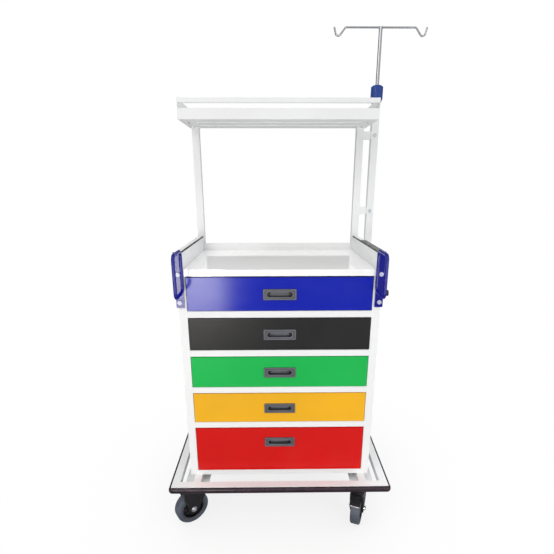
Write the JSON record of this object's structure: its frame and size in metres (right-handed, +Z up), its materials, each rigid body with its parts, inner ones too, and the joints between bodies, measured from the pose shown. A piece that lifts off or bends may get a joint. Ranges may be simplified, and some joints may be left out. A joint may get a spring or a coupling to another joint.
{
  "type": "crash cart",
  "caption": "Wheeled emergency cart: steel cabinet of colour-coded drawers, glossy worktop with side rails and hand loops, overhead shelf, infusion pole and bumpered base on swivel casters.",
  "frame": {"origin": "on the floor under the middle of the base frame", "axes": "+Z up, -Y towards the user on the drawer side, +X to the user's right"},
  "size_m": [0.881, 0.6155, 1.653],
  "materials": {
    "white_coat": "semi-gloss powder coat",
    "bumper_rubber": "satin extruded vinyl",
    "zinc_steel": "zinc-plated, satin",
    "fork_black": "black satin coat",
    "bright_steel": "polished",
    "hub_black": "moulded, fine grain",
    "tyre_grey": "matt thermoplastic rubber",
    "drawer_blue": "gloss coat",
    "drawer_black": "satin coat",
    "drawer_green": "gloss coat",
    "drawer_amber": "gloss coat",
    "drawer_red": "gloss coat",
    "pull_grey": "moulded, satin",
    "worktop_grey": "high gloss coat",
    "cap_grey": "ribbed, satin",
    "handle_blue": "gloss coat",
    "screw_white": "domed cap",
    "pole_steel": "polished stainless",
    "knob_blue": "moulded, fluted",
    "collet_black": "moulded nylon",
    "thumb_black": "moulded"
  },
  "bodies": {
    "cart": {"base_frame": "white_coat", "bumper_strip": "bumper_rubber", "caster_plates": "zinc_steel", "cabinet_shell": "white_coat", "face_frame": "white_coat", "cabinet_runners": "zinc_steel", "worktop": "worktop_grey", "side_rail_left": "white_coat", "side_rail_right": "white_coat", "rail_caps": "cap_grey", "side_handle_left": "handle_blue", "side_handle_right": "handle_blue", "bracket_screws": "screw_white", "post_left": "white_coat", "post_right": "white_coat", "shelf_tray": "white_coat", "shelf_guard": "white_coat", "iv_post": "white_coat"},
    "drawer_1": {"drawer_1_front": "drawer_blue", "drawer_1_tray": "white_coat", "drawer_1_slides": "zinc_steel", "drawer_1_pull": "pull_grey"},
    "drawer_2": {"drawer_2_front": "drawer_black", "drawer_2_tray": "white_coat", "drawer_2_slides": "zinc_steel", "drawer_2_pull": "pull_grey"},
    "drawer_3": {"drawer_3_front": "drawer_green", "drawer_3_tray": "white_coat", "drawer_3_slides": "zinc_steel", "drawer_3_pull": "pull_grey"},
    "drawer_4": {"drawer_4_front": "drawer_amber", "drawer_4_tray": "white_coat", "drawer_4_slides": "zinc_steel", "drawer_4_pull": "pull_grey"},
    "drawer_5": {"drawer_5_front": "drawer_red", "drawer_5_tray": "white_coat", "drawer_5_slides": "zinc_steel", "drawer_5_pull": "pull_grey"},
    "front_left_caster": {"front_left_fork": "fork_black", "front_left_axle": "bright_steel"},
    "front_left_wheel": {"front_left_hub": "hub_black", "front_left_tyre": "tyre_grey"},
    "front_right_caster": {"front_right_fork": "fork_black", "front_right_axle": "bright_steel"},
    "front_right_wheel": {"front_right_hub": "hub_black", "front_right_tyre": "tyre_grey"},
    "front_right_brake": {"front_right_brake_pedal": "fork_black"},
    "rear_left_caster": {"rear_left_fork": "fork_black", "rear_left_axle": "bright_steel"},
    "rear_left_wheel": {"rear_left_hub": "hub_black", "rear_left_tyre": "tyre_grey"},
    "rear_left_brake": {"rear_left_brake_pedal": "fork_black"},
    "rear_right_caster": {"rear_right_fork": "fork_black", "rear_right_axle": "bright_steel"},
    "rear_right_wheel": {"rear_right_hub": "hub_black", "rear_right_tyre": "tyre_grey"},
    "iv_collet": {"iv_collet": "collet_black"},
    "iv_pole": {"iv_pole": "pole_steel"},
    "iv_knob": {"iv_knob": "knob_blue"},
    "thumb_screw": {"thumb_screw": "thumb_black"}
  },
  "joints": [
    {"name": "drawer_1_slide", "type": "slide", "parent": "cart", "child": "drawer_1", "axis": [0, -1, 0], "range_m": [0, 0.28]},
    {"name": "drawer_2_slide", "type": "slide", "parent": "cart", "child": "drawer_2", "axis": [0, -1, 0], "range_m": [0, 0.28]},
    {"name": "drawer_3_slide", "type": "slide", "parent": "cart", "child": "drawer_3", "axis": [0, -1, 0], "range_m": [0, 0.28]},
    {"name": "drawer_4_slide", "type": "slide", "parent": "cart", "child": "drawer_4", "axis": [0, -1, 0], "range_m": [0, 0.28]},
    {"name": "drawer_5_slide", "type": "slide", "parent": "cart", "child": "drawer_5", "axis": [0, -1, 0], "range_m": [0, 0.28]},
    {"name": "front_left_swivel", "type": "hinge", "parent": "cart", "child": "front_left_caster", "pos_m": [-0.285, -0.2, 0.1405], "axis": [0, 0, 1], "continuous": true},
    {"name": "front_left_roll", "type": "hinge", "parent": "front_left_caster", "child": "front_left_wheel", "pos_m": [-0.31203, -0.21893, 0.0575], "axis": [0.5736, -0.8192, 0], "continuous": true},
    {"name": "front_right_swivel", "type": "hinge", "parent": "cart", "child": "front_right_caster", "pos_m": [0.285, -0.2, 0.1405], "axis": [0, 0, 1], "continuous": true},
    {"name": "front_right_roll", "type": "hinge", "parent": "front_right_caster", "child": "front_right_wheel", "pos_m": [0.27317, -0.23081, 0.0575], "axis": [0.9336, -0.3584, 0], "continuous": true},
    {"name": "front_right_brake_press", "type": "hinge", "parent": "front_right_caster", "child": "front_right_brake", "pos_m": [0.26457, -0.25321, 0.1255], "axis": [0.9336, -0.3584, 0], "range_deg": [0, 9]},
    {"name": "rear_left_swivel", "type": "hinge", "parent": "cart", "child": "rear_left_caster", "pos_m": [-0.285, 0.2, 0.1405], "axis": [0, 0, 1], "continuous": true},
    {"name": "rear_left_roll", "type": "hinge", "parent": "rear_left_caster", "child": "rear_left_wheel", "pos_m": [-0.29895, 0.22991, 0.0575], "axis": [-0.9063, -0.4226, 0], "continuous": true},
    {"name": "rear_left_brake_press", "type": "hinge", "parent": "rear_left_caster", "child": "rear_left_brake", "pos_m": [-0.30909, 0.25166, 0.1255], "axis": [-0.9063, -0.4226, 0], "range_deg": [0, 9]},
    {"name": "rear_right_swivel", "type": "hinge", "parent": "cart", "child": "rear_right_caster", "pos_m": [0.285, 0.2, 0.1405], "axis": [0, 0, 1], "continuous": true},
    {"name": "rear_right_roll", "type": "hinge", "parent": "rear_right_caster", "child": "rear_right_wheel", "pos_m": [0.29629, 0.23101, 0.0575], "axis": [-0.9397, 0.342, 0], "continuous": true},
    {"name": "iv_pole_turn", "type": "hinge", "parent": "cart", "child": "iv_collet", "pos_m": [0.3485, 0.1975, 1.415], "axis": [0, 0, 1], "continuous": true},
    {"name": "iv_pole_height", "type": "slide", "parent": "iv_collet", "child": "iv_pole", "axis": [0, 0, 1], "range_m": [-0.14, 0.3]},
    {"name": "iv_knob_twist", "type": "hinge", "parent": "cart", "child": "iv_knob", "pos_m": [0.3485, 0.1975, 1.416], "axis": [0, 0, 1], "range_deg": [0, 270]},
    {"name": "thumb_screw_turn", "type": "hinge", "parent": "cart", "child": "thumb_screw", "pos_m": [0.3065, -0.1975, 0.825], "axis": [1, 0, 0], "range_deg": [0, 360]}
  ]
}
